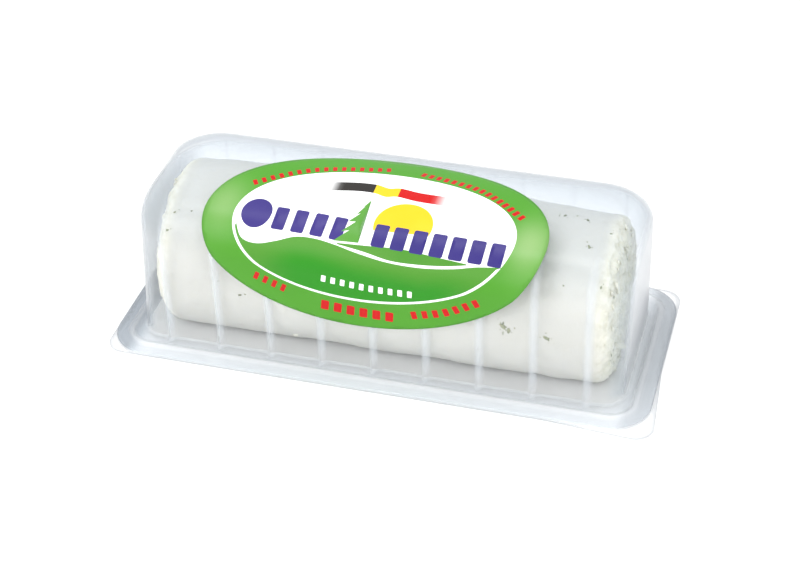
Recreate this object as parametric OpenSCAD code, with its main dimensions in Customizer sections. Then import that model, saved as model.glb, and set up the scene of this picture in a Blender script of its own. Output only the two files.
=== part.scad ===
// A soft cheese log in a clear formed pack.
//
// The log lies on a clear flat sheet. A clear dome with upright ribs stands over
// it on a wide flange, and an oval label is wrapped over the dome's front shoulder.
// Millimetres, +Z up, X along the log, front towards -Y.
// The origin is the middle of the sheet's underside.

/* [Cheese log] */
// Diameter of the log where it is still round
cheese_d = 45.6; // [36:0.1:60]
// Length of the log between its cut ends
cheese_len = 122.2; // [90:0.1:180]
// Depth that is pressed flat where the log rests
cheese_flat = 5.2; // [2:0.1:8]
// Rounding of the edges of the cut ends
cheese_edge_r = 6.5; // [2:0.1:10]

/* [Dome] */
// Thickness of the formed clear wall
wall_t = 0.4; // [0.2:0.05:0.8]
// Air between the log and the side wall, half-way up
side_gap = 0.35; // [0.3:0.05:4]
// Air between each cut end and the end wall's foot
end_gap = 3.5; // [1:0.1:8]
// Air between the log's top and the middle of the crown
top_gap = 3.1; // [2:0.1:10]
// How far a side wall leans out on its way up
side_lean = 1.4; // [0:0.1:2]
// How far an end wall leans out on its way up
end_lean = 0.3; // [0:0.1:3]
// Corner radius of the dome at its foot, seen from above
foot_corner_r = 6; // [3:0.5:10]
// Corner radius of the dome at its shoulder, seen from above
top_corner_r = 12; // [8:0.5:16]
// Radius where a side wall turns into the crown
shoulder_r = 11.1; // [6:0.1:14]
// Slope of the crown where it leaves the shoulder
crown_slope = 18.5; // [12:0.5:40]
// Radius where an end wall turns into the crown
end_shoulder_r = 10; // [8:0.5:16]

/* [Ribs] */
// Number of ribs along each side wall
rib_count = 9; // [3:1:13]
// Distance from rib to rib
rib_pitch = 14; // [8:0.1:20]
// Width of a rib
rib_w = 2.6; // [1.5:0.1:4]
// Height of a rib above the wall
rib_h = 0.6; // [0.3:0.1:1.5]
// Extra height of a rib at its foot
rib_flare = 0.5; // [0:0.1:2]

/* [Flange] */
// Thickness of the flange
flange_t = 0.6; // [0.3:0.05:1.5]
// Width of the flange outside the end walls
flange_end = 7.3; // [5:0.1:14]
// Width of the flange outside the side walls
flange_side = 8.35; // [6:0.05:14]
// Corner radius of the flange
flange_r = 11; // [7:0.5:16]
// Height of the bead that runs round the flange
bead_h = 0.9; // [0.3:0.1:2]
// Width of that bead
bead_w = 2.2; // [1:0.1:2.6]
// Distance of the bead's middle from the flange's edge
bead_inset = 4.2; // [2.5:0.1:4.5]

/* [Sheet] */
// Thickness of the clear sheet under the log
sheet_t = 0.4; // [0.2:0.05:1]
// How far the sheet reaches past the flange
sheet_over = 0.1; // [0:0.1:4]
// Corner radius of the sheet
sheet_r = 5; // [2:0.5:10]
// How far the front right corner stands out, to peel it by
peel_out = 1.8; // [0.5:0.1:4]
// Length of the edge that turns out to that corner
peel_len = 28; // [10:1:40]

/* [Label] */
// Length of the oval label
label_len = 89; // [50:0.2:110]
// Length of the label round the shoulder
label_wrap = 57.6; // [30:0.2:62]
// Place of the label's middle along the log, from the dome's middle
label_x = -1.1; // [-8:0.1:8]
// Distance of the label's middle from the shoulder's start, round the bend
label_up = 12.9; // [4:0.1:16]
// Turn of the label on the dome
label_turn = 2.3; // [-6:0.1:6]
// Thickness of the label
label_t = 0.12; // [0.05:0.01:0.4]
// Room for glue between the label and the dome
glue_gap = 0.2; // [0.05:0.01:0.3]

/* [Hidden] */

// Arc steps in a plan corner, round a shoulder and over the crown
corner_steps = 6;
shoulder_steps = 6;
crown_steps = 4;
// Rings and steps round the label
label_rings = 10;
label_steps = 64;

// Heights: the log and the flange both stand on the sheet
cheese_r = cheese_d / 2;
axis_z = sheet_t + cheese_r - cheese_flat;
flange_top = sheet_t + flange_t;
crown_z = axis_z + cheese_r + top_gap + wall_t;

// Half sizes of the dome's outside and of its flange
side_mid = cheese_r + side_gap + wall_t;
side_foot = side_mid - side_lean / 2;
side_top = side_mid + side_lean / 2;
foot_x = cheese_len / 2 + end_gap + wall_t;
flange_x = foot_x + flange_end;
flange_y = side_foot + flange_side;

// The sheet's box is centred on the origin, so its peel corner pushes the flange off
sheet_x = flange_x + sheet_over + peel_out / 2;
sheet_y = flange_y + sheet_over + peel_out / 2;
dome_at = [-peel_out / 2, peel_out / 2, 0];

// Cross-section of the crown: an arc over the middle that meets the shoulder's arc
crown_reach = side_top - shoulder_r * (1 - sin(crown_slope));
crown_r = crown_reach / sin(crown_slope);
shoulder_top = crown_z - crown_r * (1 - cos(crown_slope));
shoulder_z = shoulder_top - shoulder_r * cos(crown_slope);

// Part of the side wall's height below z: 0 at the flange and 1 at the shoulder
function wall_part(z) = min(1, max(0, (z - flange_top) / (shoulder_z - flange_top)));

// Half length of the dome at height z: a leaning wall, then the end shoulder's arc
function end_at(z) =
    let (over = max(0, z - (crown_z - end_shoulder_r)))
    foot_x + end_lean * wall_part(z)
    - end_shoulder_r + sqrt(end_shoulder_r * end_shoulder_r - over * over);

// Corner radius of the dome at height z
function corner_at(z) = foot_corner_r + (top_corner_r - foot_corner_r) * wall_part(z);

// Height of a rib at height z: flared at its foot, and gone where the crown starts
function rib_at(z) =
    z > shoulder_z ? rib_h * max(0, 1 - (z - shoulder_z) / (shoulder_top - shoulder_z))
                   : rib_h + rib_flare * max(0, 1 - 6 * wall_part(z));

// A station of the dome: [half length, half width, corner radius, z, rib height]
function station(y, z) = [end_at(z), y, min(corner_at(z), y), z, rib_at(z)];
wall_parts = [0, 1 / 6, 1];
outside = concat(
    [for (w = wall_parts)
        station(side_foot + side_lean * w, flange_top + (shoulder_z - flange_top) * w)],
    [for (i = [1:shoulder_steps])
        let (a = 90 - (90 - crown_slope) * i / shoulder_steps)
        station(side_top - shoulder_r * (1 - sin(a)), shoulder_z + shoulder_r * cos(a))],
    [for (i = [1:crown_steps])
        let (a = crown_slope * (1 - i / crown_steps))
        station(max(crown_r * sin(a), 2 * wall_t), crown_z - crown_r * (1 - cos(a)))]);

// The inside follows it one wall thickness in, and opens at the flange's underside
inside = [for (i = [0:len(outside) - 1])
    let (s = outside[i])
    [s[0] - wall_t, s[1] * (1 - wall_t / side_mid), max(s[2] - wall_t, wall_t),
     i == 0 ? sheet_t : s[3] - wall_t * wall_part(s[3]), s[4]]];

// The flange from the bead's inner side over the bead to the edge, and down
function flange_station(in, z) = [flange_x - in, flange_y - in, flange_r - in, z, 0];
bead_profile = [[1, 0], [0.5, 0.85], [0, 1], [-0.5, 0.85], [-1, 0]];
flange_out = concat(
    [for (p = bead_profile)
        flange_station(bead_inset + p[0] * bead_w / 2, flange_top + p[1] * bead_h)],
    [flange_station(0, flange_top), flange_station(0, sheet_t)]);

dome_stations = concat([for (i = [len(outside) - 1:-1:0]) outside[i]], flange_out, inside);

// Places along a side wall: four for each rib, the middle two raised
rib_spots = [for (i = [0:rib_count - 1], u = [[-0.5, 0], [-0.2, 1], [0.2, 1], [0.5, 0]])
    [(i - (rib_count - 1) / 2) * rib_pitch + u[0] * rib_w, u[1]]];
last_spot = len(rib_spots) - 1;
spot_reach = rib_spots[last_spot][0];

// A quarter arc, or its part up to angle span, round [cx, cy] from angle start
function arc(cx, cy, r, start, span = 90) =
    [for (i = [0:corner_steps])
        let (a = start + span * i / corner_steps) [cx + r * cos(a), cy + r * sin(a)]];

// Half width of a station's outline at x from its middle, without ribs
function outline_y(s, x) =
    let (over = max(0, abs(x) - (s[0] - s[2])))
    s[1] - s[2] + sqrt(max(0, s[2] * s[2] - over * over));

// Angle of a station's corner arc from its end wall to just short of the rib spot at x
function corner_span(s, x) =
    x > s[0] - s[2] ? 0.94 * acos((x - (s[0] - s[2])) / s[2]) : 90;

// The outline of a station, anticlockwise from its front left
function ring(s) =
    let (hx = s[0] - s[2], hy = s[1] - s[2], r = s[2],
         squeeze = min(1, (s[0] - 0.3 * r) / spot_reach),
         xs = [for (p = rib_spots) p[0] * squeeze], span = corner_span(s, xs[last_spot]))
    [for (p = concat(
        [for (k = [0:last_spot]) [xs[k], -outline_y(s, xs[k]) - s[4] * rib_spots[k][1]]],
        arc(hx, -hy, r, -span, span), rest(arc(hx, hy, r, 0, span)),
        [for (k = [last_spot:-1:0]) [xs[k], outline_y(s, xs[k]) + s[4] * rib_spots[k][1]]],
        arc(-hx, hy, r, 180 - span, span), rest(arc(-hx, -hy, r, 180, span))))
        [p[0], p[1], s[3]]];
function rest(points) = [for (i = [1:len(points) - 1]) points[i]];

// Skins a list of outlines that all have the same number of points
module loft(rings) {
    n = len(rings[0]);
    points = [for (r = rings, p = r) p];
    sides = [for (i = [0:len(rings) - 2], j = [0:n - 1])
        each [[i * n + j, i * n + (j + 1) % n, (i + 1) * n + (j + 1) % n],
              [i * n + j, (i + 1) * n + (j + 1) % n, (i + 1) * n + j]]];
    first = [for (j = [n - 1:-1:0]) j];
    last = [for (j = [0:n - 1]) (len(rings) - 1) * n + j];
    polyhedron(points, concat([first], sides, [last]), convexity = 6);
}

// The log: a round bar with rounded cut edges, flat where it rests
module cheese() {
    color("#e9e7dc")
        difference() {
            translate([dome_at[0], dome_at[1], axis_z])
                rotate([0, 90, 0])
                    rotate_extrude($fn = 96) half_profile();
            translate([-cheese_len, -cheese_d, sheet_t - cheese_d])
                cube([2 * cheese_len, 2 * cheese_d, cheese_d]);
        }
}

// Half of the log's length-wise section, standing on the turning axis
module half_profile() {
    flat_r = cheese_r - cheese_edge_r;
    translate([0, -cheese_len / 2]) square([flat_r, cheese_len]);
    translate([0, cheese_edge_r - cheese_len / 2])
        square([cheese_r, cheese_len - 2 * cheese_edge_r]);
    for (end = [-1, 1])
        translate([flat_r, end * (cheese_len / 2 - cheese_edge_r)])
            circle(cheese_edge_r, $fn = 48);
}

// The clear dome: a thin ribbed wall and crown on a flat flange with a bead
module dome() {
    color("#d9e4ea", 0.35)
        translate(dome_at)
            loft([for (s = dome_stations) ring(s)]);
}

// The clear sheet under the pack. Its front right corner stands out a little to peel it by
module sheet() {
    x = sheet_x - sheet_r;
    y = sheet_y - sheet_r;
    color("#cfdbe1", 0.45)
        linear_extrude(sheet_t)
            polygon(concat(
                [[sheet_x - peel_len, peel_out - sheet_y]], arc(x, -y, sheet_r, 270),
                [[sheet_x - peel_out, peel_len - sheet_y]], arc(x - peel_out, y, sheet_r, 0),
                arc(-x, y, sheet_r, 90), arc(-x, peel_out - y, sheet_r, 180)));
}

// A point of the dome's section at distance s round the bend from the shoulder's start:
// [y, z, direction that the surface faces, measured from -Y upwards]
function section(s) =
    let (bend = shoulder_r * (90 - crown_slope) * PI / 180, past = s - bend)
    s < 0 ? [-side_top - s * side_lean / (shoulder_z - flange_top), shoulder_z + s, 0]
    : s < bend ?
        let (a = s / shoulder_r * 180 / PI)
        [shoulder_r - side_top - shoulder_r * cos(a), shoulder_z + shoulder_r * sin(a), a]
    : let (a = 90 - crown_slope + past / crown_r * 180 / PI)
        [-crown_r * cos(a), crown_z - crown_r + crown_r * sin(a), a];

// A point of the label: u across and v round the bend from its middle, lifted off the wall
function label_point(u, v, lift) =
    let (s = label_up + v + u * sin(label_turn), p = section(s), d = lift + rib_at(p[1]))
    dome_at + [label_x + u * cos(label_turn), p[0] - d * cos(p[2]), p[1] + d * sin(p[2])];
function label_ring(k, lift) =
    [for (j = [0:label_steps - 1]) let (a = 360 * j / label_steps)
        label_point(k * label_len / 2 * cos(a), k * label_wrap / 2 * sin(a), lift)];

// The oval label, wrapped over the front shoulder
module label() {
    scales = [for (i = [1:label_rings]) i / label_rings];
    color("#57a844")
        loft(concat(
            [for (i = [0:label_rings - 1]) label_ring(scales[i], glue_gap + label_t)],
            [for (i = [label_rings - 1:-1:0]) label_ring(scales[i], glue_gap)]));
}

cheese();
dome();
sheet();
label();
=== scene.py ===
"""Looks for a soft cheese log in a clear ribbed pack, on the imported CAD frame. Metres, +Z up."""
import math

import bmesh
import bpy
import numpy as np
from mathutils import Matrix, Vector, noise
from mathutils.geometry import delaunay_2d_cdt


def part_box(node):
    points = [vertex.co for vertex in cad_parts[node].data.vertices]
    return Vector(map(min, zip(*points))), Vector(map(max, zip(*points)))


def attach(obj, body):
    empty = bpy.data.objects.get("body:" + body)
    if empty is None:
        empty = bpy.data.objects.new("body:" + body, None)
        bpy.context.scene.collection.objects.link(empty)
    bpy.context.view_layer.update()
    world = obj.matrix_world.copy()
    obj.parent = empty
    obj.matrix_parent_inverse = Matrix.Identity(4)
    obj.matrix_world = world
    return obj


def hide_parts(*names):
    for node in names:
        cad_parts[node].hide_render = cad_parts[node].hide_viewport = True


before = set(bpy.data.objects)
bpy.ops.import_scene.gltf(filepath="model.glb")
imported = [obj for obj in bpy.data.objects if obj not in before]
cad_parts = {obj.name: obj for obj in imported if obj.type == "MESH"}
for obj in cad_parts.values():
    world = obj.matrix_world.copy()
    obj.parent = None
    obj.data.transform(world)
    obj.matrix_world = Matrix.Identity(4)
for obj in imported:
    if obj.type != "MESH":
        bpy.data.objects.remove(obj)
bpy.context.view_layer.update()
scene = bpy.context.scene
MM = 0.001
rng = np.random.default_rng(7)

cheese_lo, cheese_hi = (np.array(v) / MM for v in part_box("cheese"))
dome_lo, dome_hi = (np.array(v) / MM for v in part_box("dome"))
sheet_lo, sheet_hi = (np.array(v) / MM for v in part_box("sheet"))
AT = np.array([(dome_lo[0] + dome_hi[0]) / 2, (dome_lo[1] + dome_hi[1]) / 2, 0.0])

# Sizes in millimetres, from the dome's middle. They follow the CAD, but for the ribs, which are
# drawn 0.4 wider here, and the label, which is drawn 0.4 higher up the bend.
LOG_R = 22.8
FLANGE_TOP, FLANGE_X, FLANGE_Y, FLANGE_R, BEAD_INSET = 1.0, 72.3, 31.2, 11.0, 4.2
FOOT_X, SIDE_FOOT, SIDE_TOP, SIDE_LEAN, END_LEAN = 65.0, 22.85, 24.25, 1.4, 0.3
FOOT_R, TOP_R, SHOULDER_R, END_R = 6.0, 12.0, 11.1, 10.0
CROWN = math.radians(18.5)
CROWN_Z, CROWN_R = 44.3, 52.5
SHOULDER_Z, SHOULDER_TOP = 31.06, 41.59
RIBS, PITCH, RIB_W, RIB_H, RIB_FLARE = 9, 14.0, 3.0, 0.6, 0.5
ROLL_R = 0.9  # where the wall turns out into the flange
PEEL_OUT, PEEL_LEN, SHEET_R = 1.8, 28.0, 5.0
LABEL_U, LABEL_V, LABEL_X, LABEL_UP, LABEL_LIFT = 44.4, 28.7, -1.1, 13.3, 0.32
LABEL_TURN = math.radians(2.3)
# Thickness of the films in the visual model
DOME_FILM, LABEL_FILM = 0.3, 0.1
PAPER_WHITE = (0.93, 0.93, 0.93)


# ---------------------------------------------------------------- helpers
def mesh_object(name, verts, faces, smooth=True):
    mesh = bpy.data.meshes.new(name)
    mesh.from_pydata([tuple(v) for v in np.asarray(verts) * MM], [], [tuple(f) for f in faces])
    mesh.validate()
    obj = bpy.data.objects.new(name, mesh)
    scene.collection.objects.link(obj)
    if smooth:
        mesh.shade_smooth()
    return obj


def set_attribute(obj, name, values):
    made = obj.data.attributes.new(name, "FLOAT", "POINT")
    made.data.foreach_set("value", np.asarray(values, np.float32))


def ease(a, b, x):
    t = np.clip((x - a) / (b - a), 0, 1)
    return t * t * (3 - 2 * t)


def noise_at(points, scale, seed=0.0, octaves=2):
    """Smooth noise in about -1..1 at each point, with bumps of about that scale."""
    shift = Vector((seed * 17.3, seed * 9.1, seed * 5.7))
    return np.array([noise.fractal(Vector(p) / scale + shift, 1.0, 2.1, octaves) for p in points])


class Nodes:
    """A short way to build a material's nodes."""

    def __init__(self, name):
        self.mat = bpy.data.materials.new(name)
        self.mat.use_nodes = True
        self.tree = self.mat.node_tree
        self.tree.nodes.clear()
        self.out = self.add("ShaderNodeOutputMaterial")

    def add(self, kind, **values):
        node = self.tree.nodes.new(kind)
        for key, value in values.items():
            setattr(node, key, value)
        return node

    def link(self, a, b):
        self.tree.links.new(a, b)

    def noise(self, scale, detail=3.0, rough=0.55):
        n = self.add("ShaderNodeTexNoise")
        n.inputs["Scale"].default_value = scale
        n.inputs["Detail"].default_value = detail
        n.inputs["Roughness"].default_value = rough
        coord = self.add("ShaderNodeTexCoord")
        self.link(coord.outputs["Object"], n.inputs["Vector"])
        return n.outputs["Fac"]

    def ramp(self, source, stops):
        r = self.add("ShaderNodeValToRGB")
        elements = r.color_ramp.elements
        while len(elements) < len(stops):
            elements.new(0.5)
        for e, (pos, colour) in zip(elements, stops):
            e.position = pos
            e.color = (*colour, 1)
        self.link(source, r.inputs["Fac"])
        return r.outputs["Color"]

    def math(self, op, a, b):
        m = self.add("ShaderNodeMath", operation=op)
        for socket, value in zip(m.inputs, (a, b)):
            if isinstance(value, (int, float)):
                socket.default_value = value
            else:
                self.link(value, socket)
        return m.outputs[0]

    def attribute(self, name):
        return self.add("ShaderNodeAttribute", attribute_name=name).outputs["Fac"]

    def mix(self, fac, a, b):
        m = self.add("ShaderNodeMix", data_type="RGBA")
        self.link(fac, m.inputs[0])
        for socket, value in ((m.inputs[6], a), (m.inputs[7], b)):
            if isinstance(value, tuple):
                socket.default_value = (*value, 1)
            else:
                self.link(value, socket)
        return m.outputs[2]

    def bump(self, height, strength, distance):
        b = self.add("ShaderNodeBump")
        b.inputs["Strength"].default_value = strength
        b.inputs["Distance"].default_value = distance
        self.link(height, b.inputs["Height"])
        return b.outputs["Normal"]

    def shader(self, **values):
        s = self.add("ShaderNodeBsdfPrincipled")
        for key, value in values.items():
            socket = s.inputs[key.replace("_", " ")]
            if isinstance(value, tuple):
                socket.default_value = (*value, 1) if len(value) == 3 and socket.type == "RGBA" else value
            elif isinstance(value, (int, float)):
                socket.default_value = value
            else:
                self.link(value, socket)
        return s

    def finish(self, shader):
        self.link(shader, self.out.inputs["Surface"])
        return self.mat


# ---------------------------------------------------------------- materials
def cheese_material():
    m = Nodes("cheese_paste")
    side = m.ramp(m.noise(60, 4), [(0.3, (0.63, 0.63, 0.59)), (0.7, (0.67, 0.67, 0.635))])
    cut = m.ramp(m.noise(420, 5, 0.65), [(0.32, (0.66, 0.64, 0.495)), (0.62, (0.90, 0.885, 0.77))])
    colour = m.mix(m.attribute("cut"), side, cut)
    height = m.math("ADD", m.noise(900, 4), m.math("MULTIPLY", m.noise(260, 3), 1.5))
    normal = m.bump(height, 0.35, 0.0003)
    rough = m.math("ADD", m.math("MULTIPLY", m.noise(350, 2), 0.25), 0.42)
    s = m.shader(Base_Color=colour, Roughness=rough, Normal=normal,
                 Subsurface_Weight=0.2, Subsurface_Scale=0.002,
                 Subsurface_Radius=(1.0, 0.9, 0.7), Specular_IOR_Level=0.35)
    return m.finish(s.outputs[0])


def herb_material():
    m = Nodes("herb_flecks")
    colour = m.ramp(m.noise(500, 3), [(0.3, (0.16, 0.18, 0.10)), (0.55, (0.30, 0.33, 0.21)),
                                      (0.75, (0.48, 0.44, 0.30))])
    s = m.shader(Base_Color=colour, Roughness=0.55, Normal=m.bump(m.noise(2500), 0.4, 0.0001))
    return m.finish(s.outputs[0])


def film_material(name, tint, milky, edge, gloss_rough):
    """Thin clear plastic: see-through, a milky share that grows at glancing angles, and a gloss.
    The mesh says how strong the tint is, where the film is milky, and where a dark grey is painted in. The
    grey and the stronger tint are painted shade, and part of the milk is painted highlight."""
    m = Nodes(name)
    facing = m.add("ShaderNodeLayerWeight")
    facing.inputs["Blend"].default_value = 0.5
    slant = facing.outputs["Facing"]
    clear = m.add("ShaderNodeBsdfTransparent")
    # The tint's strength comes from the mesh. Where it is raised, that is painted shade.
    m.link(m.mix(m.attribute("tint_and_painted_shade"), (0.995, 0.996, 0.997), tint), clear.inputs["Color"])
    body = m.ramp(m.noise(120, 3), [(0.3, (0.70, 0.755, 0.81)), (0.7, (0.78, 0.825, 0.87))])
    # Painted shade: the milky body turns dark grey where the mesh asks for it.
    body = m.mix(m.attribute("painted_shade"), body, (0.30, 0.325, 0.36))
    paste = m.shader(Base_Color=body, Roughness=0.4)
    cloud = m.math("MULTIPLY", m.math("ADD", m.noise(90, 3), 0.5), milky)
    share = m.math("ADD", cloud, m.math("MULTIPLY", m.math("POWER", slant, 2.5), edge))
    # The mesh's milk is partly real cloudiness and partly painted highlight and painted shade.
    share = m.math("MINIMUM", m.math("ADD", share, m.attribute("milk_and_painted_light")), 0.9)
    first = m.add("ShaderNodeMixShader")
    m.link(share, first.inputs[0])
    m.link(clear.outputs[0], first.inputs[1])
    m.link(paste.outputs[0], first.inputs[2])
    gloss = m.add("ShaderNodeBsdfAnisotropic")
    gloss.inputs["Roughness"].default_value = gloss_rough
    mirror = m.math("ADD", m.math("MULTIPLY", m.math("POWER", slant, 4.0), 0.85), 0.022)
    second = m.add("ShaderNodeMixShader")
    m.link(mirror, second.inputs[0])
    m.link(first.outputs[0], second.inputs[1])
    m.link(gloss.outputs[0], second.inputs[2])
    return m.finish(second.outputs[0])


def ink(name, dark, light):
    """Printed ink, a little uneven. The hill shades from one tone to the other down its slope. The green gets
    a painted highlight near each end of the label.
    """
    m = Nodes("ink_" + name)
    if name == "hill":
        colour = m.ramp(m.attribute("shade"), [(0.0, dark), (1.0, light)])
    else:
        colour = m.ramp(m.noise(45, 2), [(0.3, dark), (0.7, light)])
    # Painted highlight: the green turns paler in two soft patches set by the mesh.
    if name == "green":
        colour = m.mix(m.attribute("painted_highlight"), colour, (0.36, 0.51, 0.23))
    if name in ("black", "red"):
        colour = m.mix(m.attribute("fade"), colour, PAPER_WHITE)
    s = m.shader(Base_Color=colour, Roughness=0.38, Specular_IOR_Level=0.28,
                 Normal=m.bump(m.noise(700, 2), 0.03, 0.0001))
    return m.finish(s.outputs[0])


# ---------------------------------------------------------------- cheese log
def build_cheese():
    half = (cheese_hi[0] - cheese_lo[0]) / 2
    mid_x = (cheese_hi[0] + cheese_lo[0]) / 2
    radius, floor_z, axis_z = LOG_R, cheese_lo[2], cheese_hi[2] - LOG_R
    around, edge = 300, 6.0
    end_rows, edge_rows, side_rows = 42, 18, 152
    turns = np.linspace(0, 2 * np.pi, around, endpoint=False)
    quarter = np.linspace(0, np.pi / 2, edge_rows)
    prof = [(-half, r) for r in np.linspace(0.02, 1, end_rows)[:-1] * (radius - edge)]
    prof += [(-half + edge - edge * math.cos(a), radius - edge + edge * math.sin(a)) for a in quarter]
    prof += [(x, radius) for x in np.linspace(-half + edge, half - edge, side_rows)[1:-1]]
    prof += [(half - edge + edge * math.sin(a), radius - edge + edge * math.cos(a)) for a in quarter]
    prof += [(half, r) for r in np.linspace(1, 0.02, end_rows)[1:] * (radius - edge)]
    prof = np.array(prof)
    x = np.repeat(prof[:, 0], around)
    r = np.repeat(prof[:, 1], around)
    t = np.tile(turns, len(prof))
    p = np.stack([x, r * np.cos(t), r * np.sin(t)], 1)
    out = np.stack([np.zeros_like(x), np.cos(t), np.sin(t)], 1)
    end = ease(half - edge - 1.0, half - 0.8, np.abs(x))
    side = 1 - end
    # Soft dents along the side, a crumbly cut at each end, and a droop of the upper edges
    dents = noise_at(p, 21, 1) * 0.75 + noise_at(p, 8, 2) * 0.42 + noise_at(p, 2.4, 3) * 0.1
    rough = noise_at(p, 4.2, 4, 3) * 0.95 + noise_at(p, 1.5, 5, 3) * 0.7
    rough *= np.where(x > 0, 1.0, 0.55)
    shoulder = ease(half - 15, half, np.abs(x)) * ease(-0.2, 1.0, np.sin(t))
    p -= out * (side * (0.1 + np.clip(dents + 0.25, 0, 2)) + 1.6 * shoulder * side)[:, None]
    p[:, 0] -= np.sign(x) * end * np.clip(0.5 + rough, 0, 3.0) * (0.45 + 0.55 * (r / radius < 0.93))
    p[:, 0] -= 0.03 * np.sign(x) * np.clip(p[:, 2], 0, 30) * end
    z = p[:, 2] + axis_z
    press = 0.7
    z = z + np.logaddexp(0, (floor_z - z) / press) * press
    p = np.stack([p[:, 0] + mid_x, p[:, 1] + AT[1], np.clip(z, floor_z + 0.01, cheese_hi[2])], 1)
    rows = len(prof)
    faces = [(i * around + j, i * around + (j + 1) % around, (i + 1) * around + (j + 1) % around,
              (i + 1) * around + j) for i in range(rows - 1) for j in range(around)]
    faces.append(tuple(range(around - 1, -1, -1)))
    faces.append(tuple((rows - 1) * around + j for j in range(around)))
    obj = mesh_object("cheese_log", p, [f[::-1] for f in faces])
    patchy = 0.8 + 0.35 * noise_at(p, 6, 8)
    set_attribute(obj, "cut", np.clip(end * patchy, 0, 1))
    obj.data.materials.append(cheese_material())
    return obj, p


def build_bits(skin):
    """Herb flecks pressed into the paste, and crumbs of paste at the cut ends, each one joined mesh.
    skin holds the points of the log's surface, and each bit sits on one of them."""
    heart = np.array([0, AT[1], cheese_hi[2] - LOG_R])
    lowest = (cheese_lo[2] + 0.03) * MM

    def closest(want):
        return skin[np.argmin(((skin - want) ** 2).sum(1))]

    def nearest(x, degrees):
        a, r = math.radians(degrees), LOG_R - 0.5
        x = np.clip(x, skin[:, 0].min(), skin[:, 0].max())
        return closest([x, heart[1] - r * math.cos(a), heart[2] + r * math.sin(a)])

    def outward(c):
        return c - np.array([c[0], heart[1], heart[2]])

    def cut_place(sign, a, r, least_z):
        return closest([sign * 60, heart[1] + r * math.cos(a), max(heart[2] + r * math.sin(a), least_z)])

    def blob(bm, centre, out, size, long, flat_by, seed):
        made = bmesh.ops.create_icosphere(bm, subdivisions=2, radius=1.0)
        out = Vector(out).normalized()
        turn = out.to_track_quat("Z", "Y").to_matrix() @ Matrix.Rotation(seed * 2.4, 3, "Z")
        for v in made["verts"]:
            lump = 1 + 0.45 * noise.noise(v.co * 1.7 + Vector((seed * 3.1, 0, 0)))
            local = Vector((v.co.x * long, v.co.y, v.co.z * flat_by)) * size * lump
            v.co = (turn @ local + Vector(centre)) * MM
            v.co.z = max(v.co.z, lowest)

    # The flecks that show in front: place along the log, angle up from the front, size
    marked = [(33, 7, 0.95), (34.2, 5, 0.8), (34.8, 3, 0.5), (32.4, 8.5, 0.45), (44, 4, 0.75), (45, 2.5, 0.4),
              (26.5, -16, 0.35), (-37, 0, 0.5), (-35.8, 1, 0.3), (49, 95, 0.6), (43, 96, 0.6), (46, 98, 0.4),
              (56, 84, 0.4), (51.5, 70, 0.55), (56, 42, 0.4), (-57, 52, 0.4), (-58, 38, 0.45)]
    herbs = bmesh.new()
    for k, (x, angle, size) in enumerate(marked):
        c = nearest(x, angle)
        out = outward(c)
        blob(herbs, c, out, size * 0.62, 1.7, 0.3, k + 1.0)
        for _ in range(3):
            near = nearest(x + rng.uniform(-1.6, 1.6), angle + rng.uniform(-4, 4))
            blob(herbs, near, out, size * rng.uniform(0.15, 0.3), 1.5, 0.35, k + rng.uniform(0, 9))
    for k in range(30):
        x, angle = rng.uniform(-58, 58), rng.uniform(-20, 200)
        if -42 < x < 40 and angle < 90:
            continue
        c = nearest(x, angle)
        blob(herbs, c, outward(c), rng.uniform(0.14, 0.34), 1.7, 0.3, k + 40.0)
    for k in range(30):
        sign = 1 if k % 3 else -1
        c = cut_place(sign, rng.uniform(0, 2 * np.pi), 21 * math.sqrt(rng.uniform(0, 1)), 2)
        blob(herbs, c, (sign, 0.1, 0.1), rng.uniform(0.16, 0.36), 1.6, 0.35, k + 90.0)
    crumbs = bmesh.new()
    corner = closest([60, heart[1] - 10, 10.5])
    blob(crumbs, corner + [0.8, 0, 0], (1, 0.3, -0.2), 0.9, 0.9, 2.2, 5.0)
    chip = nearest(-24, -38)
    blob(crumbs, chip, outward(chip), 0.9, 1.8, 0.5, 7.0)
    for k in range(70):
        sign = 1 if k % 4 else -1
        c = cut_place(sign, rng.uniform(0, 2 * np.pi), rng.uniform(13, 21.5), 1.5)
        blob(crumbs, c, (sign, 0.3, 0.2), rng.uniform(0.3, 0.85), 1.3, 0.6, k + 3.0)
    made = []
    for name, bm, mat in (("herb_flecks", herbs, herb_material()),
                          ("cheese_crumbs", crumbs, cheese_material())):
        mesh = bpy.data.meshes.new(name)
        bm.to_mesh(mesh)
        bm.free()
        obj = bpy.data.objects.new(name, mesh)
        scene.collection.objects.link(obj)
        mesh.shade_smooth()
        mesh.materials.append(mat)
        made.append(obj)
    set_attribute(made[1], "cut", np.full(len(made[1].data.vertices), 0.8))
    return made


# ---------------------------------------------------------------- clear dome
def wall_part(z):
    return min(1, max(0, (z - FLANGE_TOP) / (SHOULDER_Z - FLANGE_TOP)))


def end_at(z):
    over = max(0, z - (CROWN_Z - END_R))
    return FOOT_X + END_LEAN * wall_part(z) - END_R + math.sqrt(max(0, END_R ** 2 - over ** 2))


def rib_at(z):
    if z > SHOULDER_Z:
        return RIB_H * max(0, 1 - (z - SHOULDER_Z) / (SHOULDER_TOP - SHOULDER_Z))
    return RIB_H + RIB_FLARE * max(0, 1 - 6 * wall_part(z))


def front_places():
    """Places along a side wall: close together on each rib, with the rib's share of height at each."""
    places = []
    for i in range(RIBS):
        mid = (i - (RIBS - 1) / 2) * PITCH
        for u in np.linspace(-0.5, 0.5, 11):
            places.append((mid + u * RIB_W, 0.5 + 0.5 * math.cos(2 * math.pi * u)))
        if i < RIBS - 1:
            for u in np.linspace(0, 1, 8)[1:-1]:
                places.append((mid + RIB_W / 2 + u * (PITCH - RIB_W), 0.0))
    return np.array(places)


PLACES = front_places()
REACH = PLACES[-1, 0]
CORNER = 18


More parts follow.
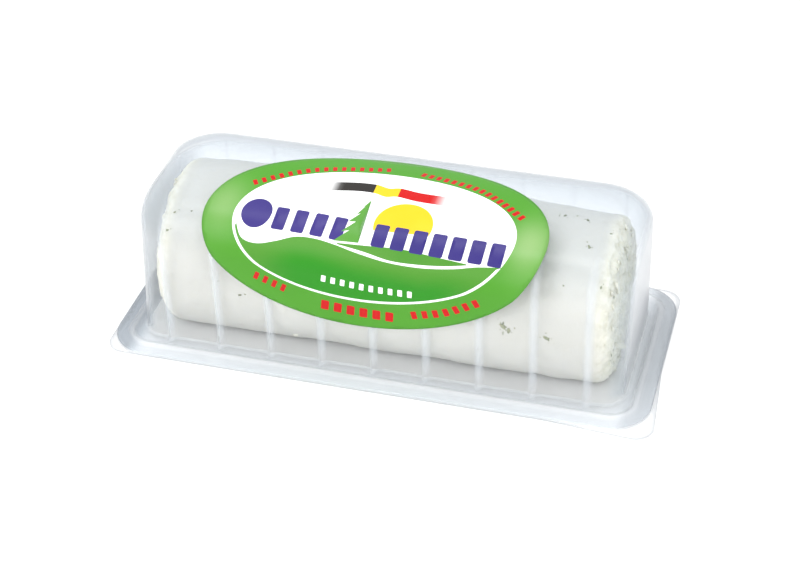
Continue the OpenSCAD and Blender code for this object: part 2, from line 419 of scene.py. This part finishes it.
def ring(hx, hy, r, z, rib):
    """An outline of the dome at height z, anticlockwise from its front left, and each point's rib share."""
    r = min(r, hy)
    squeeze = min(1, (hx - 0.3 * r) / REACH)
    xs = PLACES[:, 0] * squeeze
    over = np.maximum(0, np.abs(xs) - (hx - r))
    wide = hy - r + np.sqrt(np.maximum(0, r * r - over * over)) + rib * PLACES[:, 1]
    span = 0.94 * math.degrees(math.acos(min(1, (xs[-1] - (hx - r)) / r))) if xs[-1] > hx - r else 90
    a = np.radians(np.linspace(0, span, CORNER + 1))
    low = np.stack([hx - r + r * np.cos(a - a[-1]), -(hy - r) + r * np.sin(a - a[-1])], 1)
    high = np.stack([hx - r + r * np.cos(a), hy - r + r * np.sin(a)], 1)
    front = np.stack([xs, -wide], 1)
    back = np.stack([xs[::-1], wide[::-1]], 1)
    points = np.concatenate([front, low, high, back, -low, -high])
    corners = np.zeros(2 * CORNER + 2)
    share = np.concatenate([PLACES[:, 1], corners, PLACES[::-1, 1], corners])
    return np.column_stack([points, np.full(len(points), z)]), share * min(1, rib / RIB_H)


def rib_milk_and_painted_highlight(points, share):
    """The drawn film is a little cloudy where a rib stretches it, and less so on the back. The front ribs get
    far more of it, a painted highlight for the bright lines they show.
    """
    fade_in = 0.35 + 0.65 * ease(0.5, 7, points[:, 2])
    return np.where(points[:, 1] < 0, 0.23, 0.02) * share ** 0.6 * fade_in


def painted_shade_at(verts):
    """Painted shade: a grey painted into the film at the two ends of the flange and at the end walls."""
    x, y, z = (verts - AT).T
    low = 1 - ease(1.5, 6, z)
    back = 0.75 + 0.35 * ease(-20, 25, y)
    flange = low * ease(63.5, 67, np.abs(x)) * back * np.where(x > 0, 0.85, 1.1 + 0.3 * ease(-10, 15, y))
    wall = ease(60, 64.5, np.abs(x)) * ease(1.5, 4, z) * (1 - ease(30, 40, z))
    wall = wall * np.where(x > 0, 0.25 + 0.9 * ease(6, 19, y), 0.75)
    return np.clip(np.maximum(flange, wall), 0, 1)


def build_dome():
    stations = []
    for i in range(15):
        a = CROWN * i / 14
        stations.append((max(CROWN_R * math.sin(a), 0.15), CROWN_Z - CROWN_R * (1 - math.cos(a))))
    for i in range(1, 17):
        a = CROWN + (math.pi / 2 - CROWN) * i / 16
        stations.append((SIDE_TOP - SHOULDER_R * (1 - math.sin(a)), SHOULDER_Z + SHOULDER_R * math.cos(a)))
    for w in np.linspace(1, 0, 30)[1:]:
        z = FLANGE_TOP + ROLL_R + (SHOULDER_Z - FLANGE_TOP - ROLL_R) * w
        stations.append((SIDE_FOOT + SIDE_LEAN * wall_part(z), z))
    rings, shares = [], []
    for y, z in stations:
        points, share = ring(end_at(z), y, FOOT_R + (TOP_R - FOOT_R) * wall_part(z), z, rib_at(z))
        rings.append(points)
        shares.append(rib_milk_and_painted_highlight(points, share))
    for a in np.linspace(0, math.pi / 2, 6)[1:]:
        grow = ROLL_R * (1 - math.cos(a))
        z = FLANGE_TOP + ROLL_R * (1 - math.sin(a))
        points, share = ring(FOOT_X + grow, SIDE_FOOT + grow, FOOT_R + grow, z, rib_at(FLANGE_TOP))
        rings.append(points)
        # Painted highlight: a milky band round the roll draws a bright line along the wall's foot.
        shares.append(rib_milk_and_painted_highlight(points, share) + 0.14 * math.sin(2 * a) ** 2)
    # The flange from its foot to its rim: inset, height above its top, share of milk. The milk at the rim is
    # a painted highlight along the flange's edge.
    profile = [(5.9, 0, 0), (5.6, 0, 0)]
    profile += [(BEAD_INSET + 1.1 * math.cos(a), 0.6 * math.sin(a) ** 1.6, 0.0)
                for a in np.linspace(0.02, math.pi - 0.02, 11)]
    profile += [(2.8, 0, 0), (1.9, 0, 0), (1.2, -0.08, 0.02), (0.5, -0.15, 0.03), (0.12, -0.18, 0.15),
                (0.0, -0.3, 0.3)]
    for inset, up, milk_and_painted_light in profile:
        points, _ = ring(FLANGE_X - inset, FLANGE_Y - inset, FLANGE_R - inset, FLANGE_TOP + up, 0)
        rings.append(points)
        shares.append(np.full(len(points), milk_and_painted_light))
    n = len(rings[0])
    verts = np.concatenate(rings) + AT
    faces = [(i * n + j, (i + 1) * n + j, (i + 1) * n + (j + 1) % n, i * n + (j + 1) % n)
             for i in range(len(rings) - 1) for j in range(n)]
    faces.append(tuple(range(n)))
    obj = mesh_object("clear_dome", verts, faces)
    # Painted shade: grey film at the flange's ends and the end walls, with extra milk there so that the grey
    # shows.
    painted_shade = painted_shade_at(verts)
    set_attribute(obj, "milk_and_painted_light", np.concatenate(shares) + np.where(verts[:, 0] > 0, 0.17, 0.24) * painted_shade)
    set_attribute(obj, "painted_shade", painted_shade)
    # How strongly the film's tint shows: over the crown, at the end walls and on the flange, most at its left
    # end. The tint is the film's own, and making it stronger in these places is painted shade.
    x, y, z = (verts - AT).T
    ends = ease(60, 65, np.abs(x)) * ease(0.9, 4, z) * (1 - 0.5 * ease(34, 42, z))
    crown = (0.45 + 0.4 * ease(0, 12, y)) * ease(20, 36, z + 0.35 * y)
    flange = (0.42 + 0.45 * ease(62, 66, -x)) * (1 - ease(0.9, 1.7, z))
    set_attribute(obj, "tint_and_painted_shade", np.maximum(np.maximum(crown, ends), flange))
    wall = obj.modifiers.new("film", "SOLIDIFY")
    wall.thickness = DOME_FILM * MM
    wall.offset = -1
    film = film_material("clear_dome_film", tint=(0.88, 0.902, 0.922), milky=0.012, edge=0.27,
                         gloss_rough=0.34)
    obj.data.materials.append(film)
    return obj


# ---------------------------------------------------------------- clear sheet
def build_sheet():
    peel, length, r = PEEL_OUT, PEEL_LEN, SHEET_R
    lo, hi, thick = sheet_lo, sheet_hi, sheet_hi[2]

    def arc(cx, cy, start):
        return [(cx + r * math.cos(a), cy + r * math.sin(a))
                for a in np.radians(np.linspace(start, start + 90, 17))]

    outline = [(hi[0] - length, lo[1] + peel)] + arc(hi[0] - r, lo[1] + r, 270)
    outline += [(hi[0] - peel, lo[1] + length)] + arc(hi[0] - peel - r, hi[1] - r, 0)
    outline += arc(lo[0] + r, hi[1] - r, 90) + arc(lo[0] + r, lo[1] + peel + r, 180)
    outline = np.array(outline)
    middle = outline.mean(0)
    # From the underside's edge over the rim to the top: share of the outline, height, share of milk
    steps = [(1.0, 0.0, 0.0), (1.0, 0.2, 0.4), (1.0, 0.8, 0.4), (0.997, 1.0, 0.22), (0.985, 1.0, 0.1),
             (0.98, 1.0, 0.0)]
    rings, milk_and_painted_light = [], []
    for share, up, m in steps:
        pts = middle + (outline - middle) * share
        rings.append(np.column_stack([pts, np.full(len(pts), up * thick)]))
        milk_and_painted_light += [m] * len(pts)
    n = len(outline)
    verts = np.concatenate(rings)
    faces = [(i * n + j, i * n + (j + 1) % n, (i + 1) * n + (j + 1) % n, (i + 1) * n + j)
             for i in range(len(rings) - 1) for j in range(n)]
    faces += [tuple(range(n - 1, -1, -1)), tuple((len(rings) - 1) * n + j for j in range(n))]
    obj = mesh_object("clear_sheet", verts, faces, smooth=False)
    set_attribute(obj, "milk_and_painted_light", milk_and_painted_light)
    # Painted shade: the sheet's rim gets the dark grey body, which draws a dark outline like a shadow along
    # the pack's edge.
    set_attribute(obj, "painted_shade", [1.0 if m > 0.05 else 0.0 for m in milk_and_painted_light])
    film = film_material("clear_sheet_film", tint=(0.97, 0.975, 0.98), milky=0.008, edge=0.08,
                         gloss_rough=0.3)
    obj.data.materials.append(film)
    return obj


# ---------------------------------------------------------------- label
def label_point(u, v):
    """A point of the label's face: u along the log, v round the bend, both in millimetres."""
    s = LABEL_UP + v + u * math.sin(LABEL_TURN)
    bend = SHOULDER_R * (math.pi / 2 - CROWN)
    if s < 0:
        y, z, a = -SIDE_TOP - s * SIDE_LEAN / (SHOULDER_Z - FLANGE_TOP), SHOULDER_Z + s, 0
    elif s < bend:
        a = s / SHOULDER_R
        y = SHOULDER_R - SIDE_TOP - SHOULDER_R * math.cos(a)
        z = SHOULDER_Z + SHOULDER_R * math.sin(a)
    else:
        a = math.pi / 2 - CROWN + (s - bend) / CROWN_R
        y, z = -CROWN_R * math.cos(a), CROWN_Z - CROWN_R + CROWN_R * math.sin(a)
    d = LABEL_LIFT + rib_at(z)
    return (AT[0] + LABEL_X + u * math.cos(LABEL_TURN), AT[1] + y - d * math.cos(a), z + d * math.sin(a))


def oval(cu, cv, ru, rv, count):
    a = np.linspace(0, 2 * np.pi, count, endpoint=False)
    return np.column_stack([cu + ru * np.cos(a), cv + rv * np.sin(a)])


def curve(points, count):
    """A smooth line through a few points."""
    p = np.array(points, float)
    t = np.linspace(0, len(p) - 1, count)
    out = []
    for s in t:
        i = min(int(s), len(p) - 2)
        f = s - i
        a, b, c, d = p[max(i - 1, 0)], p[i], p[i + 1], p[min(i + 2, len(p) - 1)]
        out.append(0.5 * (2 * b + (c - a) * f + (2 * a - 5 * b + 4 * c - d) * f * f
                          + (3 * b - a - 3 * c + d) * f ** 3))
    return np.array(out)


def blocks(points, count, half_w, half_h, name):
    """A row of plain rounded blocks, evenly spaced and upright on a smooth line."""
    line = curve(points, 80)
    run = np.append(0, np.cumsum(np.linalg.norm(np.diff(line, axis=0), axis=1)))
    row, r = [], 0.3 * half_w
    for d in np.linspace(0, run[-1], count):
        u, v = (np.interp(d, run, line[:, k]) for k in (0, 1))
        ahead, behind = ([np.interp(e, run, line[:, k]) for k in (0, 1)] for e in (d + 0.5, d - 0.5))
        turn = math.atan2(ahead[1] - behind[1], ahead[0] - behind[0])
        pts = []
        for k, (sx, sy) in enumerate(((1, 1), (-1, 1), (-1, -1), (1, -1))):
            for a in np.linspace(0, math.pi / 2, 4) + k * math.pi / 2:
                x, y = sx * (half_w - r) + r * math.cos(a), sy * (half_h - r) + r * math.sin(a)
                pts.append((u + x * math.cos(turn) - y * math.sin(turn),
                            v + x * math.sin(turn) + y * math.cos(turn)))
        row.append((name, np.array(pts)))
    return row


def inside(poly, points):
    """Which points lie in a polygon."""
    hit = np.zeros(len(points), bool)
    a, b = poly, np.roll(poly, -1, 0)
    for (x1, y1), (x2, y2) in zip(a, b):
        cross = (y1 > points[:, 1]) != (y2 > points[:, 1])
        with np.errstate(divide="ignore", invalid="ignore"):
            at = (x2 - x1) * (points[:, 1] - y1) / (y2 - y1) + x1
        hit ^= cross & (points[:, 0] < at)
    return hit


def label_shapes():
    """Fields of colour from the bottom up: (ink, polygon). Plain blocks stand where a print has words."""
    shapes = [("green", oval(0, 0, LABEL_U, LABEL_V, 180))]
    shapes.append(("white", oval(0, 0, 36.4, 20.6, 160)))
    field = oval(0, 0, 35.7, 19.9, 160)
    crest = curve([(-35, -2.5), (-33, -6), (-29, -7), (-24, -6), (-19, -4.5), (-14, -4.5), (-8.5, -5.5),
                   (-2.5, -7), (5.5, -8.5), (14, -9), (22, -8.5), (28, -7.5), (34, -7), (35.5, -6.5)], 110)
    lower = [p for p in field if p[1] < -2 and (p[1] < np.interp(p[0], crest[:, 0], crest[:, 1]))]
    lower = sorted(lower, key=lambda p: p[0])
    shapes.append(("hill", np.array([p for p in crest if abs(p[0]) <= 35] + lower[::-1])))
    far_top = curve([(-8, -5), (0, -5), (8.5, -5), (17, -6), (25.5, -7)], 50)
    far_low = curve([(25.5, -7.3), (20, -8), (13, -8.3), (6, -8), (-1, -6.5), (-8, -5.3)], 50)
    shapes.append(("far_hill", np.concatenate([far_top, far_low])))
    sun = oval(7.5, 1.5, 7.5, 7.5, 80)
    shapes.append(("sun", np.array([p for p in sun if p[1] > -1])))
    tiers = [(0, 9), (-1.5, 6), (-1, 6.5), (-2.5, 3.5), (-1.5, 4), (-4, 1), (-2, 1.2), (-5, -2), (-3, -1.5),
             (-6.5, -4.5), (0, -4.5)]
    shapes.append(("navy", oval(-30.5, 1, 4, 4.3, 48)))
    shapes += blocks([(-24, 0), (-16, -0.5), (-8.5, -1.2)], 4, 1.7, 3.2, "navy")
    shapes += blocks([(2.5, -2), (17, -3), (32.5, -4)], 7, 1.8, 3.1, "navy")
    shapes.append(("leaf", np.array(tiers) + [-2.6, 0]))
    flow = [(-15, 12.5), (-8, 13.5), (-3, 13.5), (0.5, 12.5), (3.5, 13), (9, 12), (17, 11.5)]
    line, width = curve(flow, 70), 1.75
    for name, a, b in (("black", 0, 24), ("sun", 23, 47), ("red", 46, 70)):
        piece = line[a:b]
        shapes.append((name, np.concatenate([piece + [0, width], (piece - [0, width])[::-1]])))
    for row in (([(-29, -16), (-25.5, -17.5), (-22, -19)], 4, 0.6, 1.2, "red"),
                ([(-11, -23), (-2.5, -24), (6, -24.5)], 6, 1.05, 1.5, "red"),
                ([(12.5, -23), (20.5, -21), (28.5, -17)], 7, 0.75, 1.2, "red"),
                ([(-34, 11), (-20, 19), (-2, 23)], 16, 0.55, 1.0, "red"),
                ([(7.5, 22.5), (23, 18), (36, 8.5)], 16, 0.6, 1.0, "red"),
                ([(-11, -14.5), (0.5, -16), (11.5, -16.5)], 10, 0.6, 1.0, "white")):
        shapes += blocks(*row)
    return shapes


# Each ink's darker and lighter tone
INKS = {"green": ((0.065, 0.29, 0.015), (0.075, 0.31, 0.02)),
        "white": (PAPER_WHITE, (0.97, 0.97, 0.97)),
        "hill": ((0.078, 0.275, 0.025), (0.018, 0.25, 0.005)),
        "far_hill": ((0.05, 0.24, 0.012), (0.1, 0.285, 0.036)),
        "sun": ((0.79, 0.50, 0.0), (0.84, 0.58, 0.02)),
        "leaf": ((0.07, 0.28, 0.026), (0.115, 0.325, 0.053)),
        "navy": ((0.029, 0.02, 0.17), (0.045, 0.031, 0.205)),
        "red": ((0.52, 0.0, 0.0), (0.57, 0.0, 0.0)),
        "black": ((0.012, 0.010, 0.009), (0.03, 0.026, 0.023))}


def build_label():
    shapes = label_shapes()
    points, edges, at = [], [], 0
    for _, poly in shapes:
        n = len(poly)
        points += [Vector(p) for p in poly]
        edges += [(at + i, at + (i + 1) % n) for i in range(n)]
        at += n
    rim = shapes[0][1]
    step = 1.1  # mesh size between the fields' edges
    grid = np.array([(u, v) for u in np.arange(-44, 44.1, step) for v in np.arange(-28, 28.1, step)])
    points += [Vector(p) for p in grid[inside(rim * 0.985, grid)]]
    co, _, tris, *_ = delaunay_2d_cdt(points, edges, [], 0, 1e-4)
    flat = np.array([tuple(c) for c in co])
    tris = np.array([t for t in tris if len(t) == 3])
    mids = flat[tris].mean(1)
    tris, mids = tris[inside(rim, mids)], mids[inside(rim, mids)]
    names = list(INKS)
    which = np.zeros(len(tris), int)
    for name, poly in shapes:
        which[inside(poly, mids)] = names.index(name)
    e1, e2 = flat[tris[:, 1]] - flat[tris[:, 0]], flat[tris[:, 2]] - flat[tris[:, 0]]
    flip = (e1[:, 0] * e2[:, 1] - e1[:, 1] * e2[:, 0]) < 0
    tris[flip] = tris[flip][:, ::-1]
    obj = mesh_object("front_label", [label_point(u, v) for u, v in flat], tris)
    crest = np.array([(-36, -5), (-29, -7), (-19, -4.5), (-14, -4.5), (-2.5, -7), (14, -9), (36, -6.5)])
    below = np.interp(flat[:, 0], crest[:, 0], crest[:, 1]) - flat[:, 1]
    set_attribute(obj, "shade", ease(0.5, 6.5, below) * (1 - ease(17, 34, np.abs(flat[:, 0]))))
    # Painted highlight: two soft pale patches on the green near the label's ends, where the overhead light's
    # gloss would fall.
    left, right = (np.exp(-(((flat[:, 0] - u) / 5.5) ** 2 + ((flat[:, 1] - v) / 7.5) ** 2))
                   for u, v in ((-39.5, 3), (40, 0)))
    set_attribute(obj, "painted_highlight", 0.45 * left + 0.62 * right)
    ribbon = (np.abs(flat[:, 1] - 12.3) < 2.8) & (np.abs(flat[:, 0]) < 18)
    faded = np.maximum(1 - ease(-15.4, -11.5, flat[:, 0]), ease(12.5, 17.4, flat[:, 0]))
    set_attribute(obj, "fade", ribbon * faded)
    for name in names:
        obj.data.materials.append(ink(name, *INKS[name]))
    obj.data.polygons.foreach_set("material_index", which.astype(np.int32))
    skin = obj.modifiers.new("film", "SOLIDIFY")
    skin.thickness = LABEL_FILM * MM
    skin.offset = -1
    return obj


# ---------------------------------------------------------------- floor, light, camera
def build_stage():
    far, low = 3000, -0.02
    corners = [(-far, -far, low), (far, -far, low), (far, far, low), (-far, far, low)]
    floor = mesh_object("floor", corners, [(0, 1, 2, 3)], smooth=False)
    m = Nodes("pale_floor")
    s = m.shader(Base_Color=m.ramp(m.noise(3, 2), [(0.3, (0.95, 0.95, 0.95)), (0.7, (0.96, 0.96, 0.96))]),
                 Roughness=0.9, Specular_IOR_Level=0.1)
    floor.data.materials.append(m.finish(s.outputs[0]))
    world = bpy.data.worlds.new("studio")
    world.use_nodes = True
    sky = world.node_tree.nodes["Background"]
    sky.inputs["Color"].default_value = (0.985, 0.99, 1.0, 1)
    sky.inputs["Strength"].default_value = 0.86
    scene.world = world

    target = Vector((0, 0, 0.02))

    def area(name, place, size, size_y, power, shine=True):
        data = bpy.data.lights.new(name, "AREA")
        data.shape, data.size, data.size_y, data.energy = "RECTANGLE", size, size_y, power
        obj = bpy.data.objects.new(name, data)
        obj.location = place
        obj.visible_glossy = shine
        obj.rotation_euler = (target - Vector(place)).to_track_quat("-Z", "Y").to_euler()
        scene.collection.objects.link(obj)

    area("overhead_strip", (0, 0.02, 0.75), 0.7, 0.26, 2.7)
    area("key", (-0.45, -0.60, 0.60), 0.5, 0.5, 2.2)
    area("front_fill", (-0.1, -0.85, 0.36), 0.8, 0.3, 1.2)
    area("right_fill", (0.85, -0.25, 0.22), 0.5, 0.3, 1.8)
    area("rear_fill", (-0.35, 0.80, 0.45), 0.7, 0.3, 1.2, shine=False)


def build_camera():
    az, el, roll = math.radians(16.1), math.radians(35.7), math.radians(-1.15)
    target = Vector((-0.1, 0.9, 12.8)) * MM
    back = Vector((math.sin(az) * math.cos(el), -math.cos(az) * math.cos(el), math.sin(el)))
    right = Vector((math.cos(az), math.sin(az), 0))
    up = back.cross(right)
    x = right * math.cos(roll) + up * math.sin(roll)
    y = up * math.cos(roll) - right * math.sin(roll)
    data = bpy.data.cameras.new("camera")
    data.lens, data.sensor_width, data.clip_start, data.clip_end = 85.5, 36, 0.01, 20
    distance = 0.5055
    cam = bpy.data.objects.new("camera", data)
    turned = Matrix((x, y, back)).transposed().to_4x4()
    cam.matrix_world = Matrix.Translation(target + back * distance) @ turned
    scene.collection.objects.link(cam)
    scene.camera = cam


build_camera()
log, log_skin = build_cheese()
flecks, crumbs = build_bits(log_skin)
dome = build_dome()
sheet = build_sheet()
label = build_label()
build_stage()
scene.view_settings.view_transform = "Standard"
scene.cycles.max_bounces = 8
scene.cycles.transparent_max_bounces = 40

for piece, node, slot in ((log, "cheese", "cheese"), (flecks, None, "cheese"), (crumbs, None, "cheese"),
                          (dome, "dome", "clear_dome"), (sheet, "sheet", "clear_sheet"),
                          (label, "label", "label")):
    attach(piece, "root")
    if node:
        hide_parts(node)
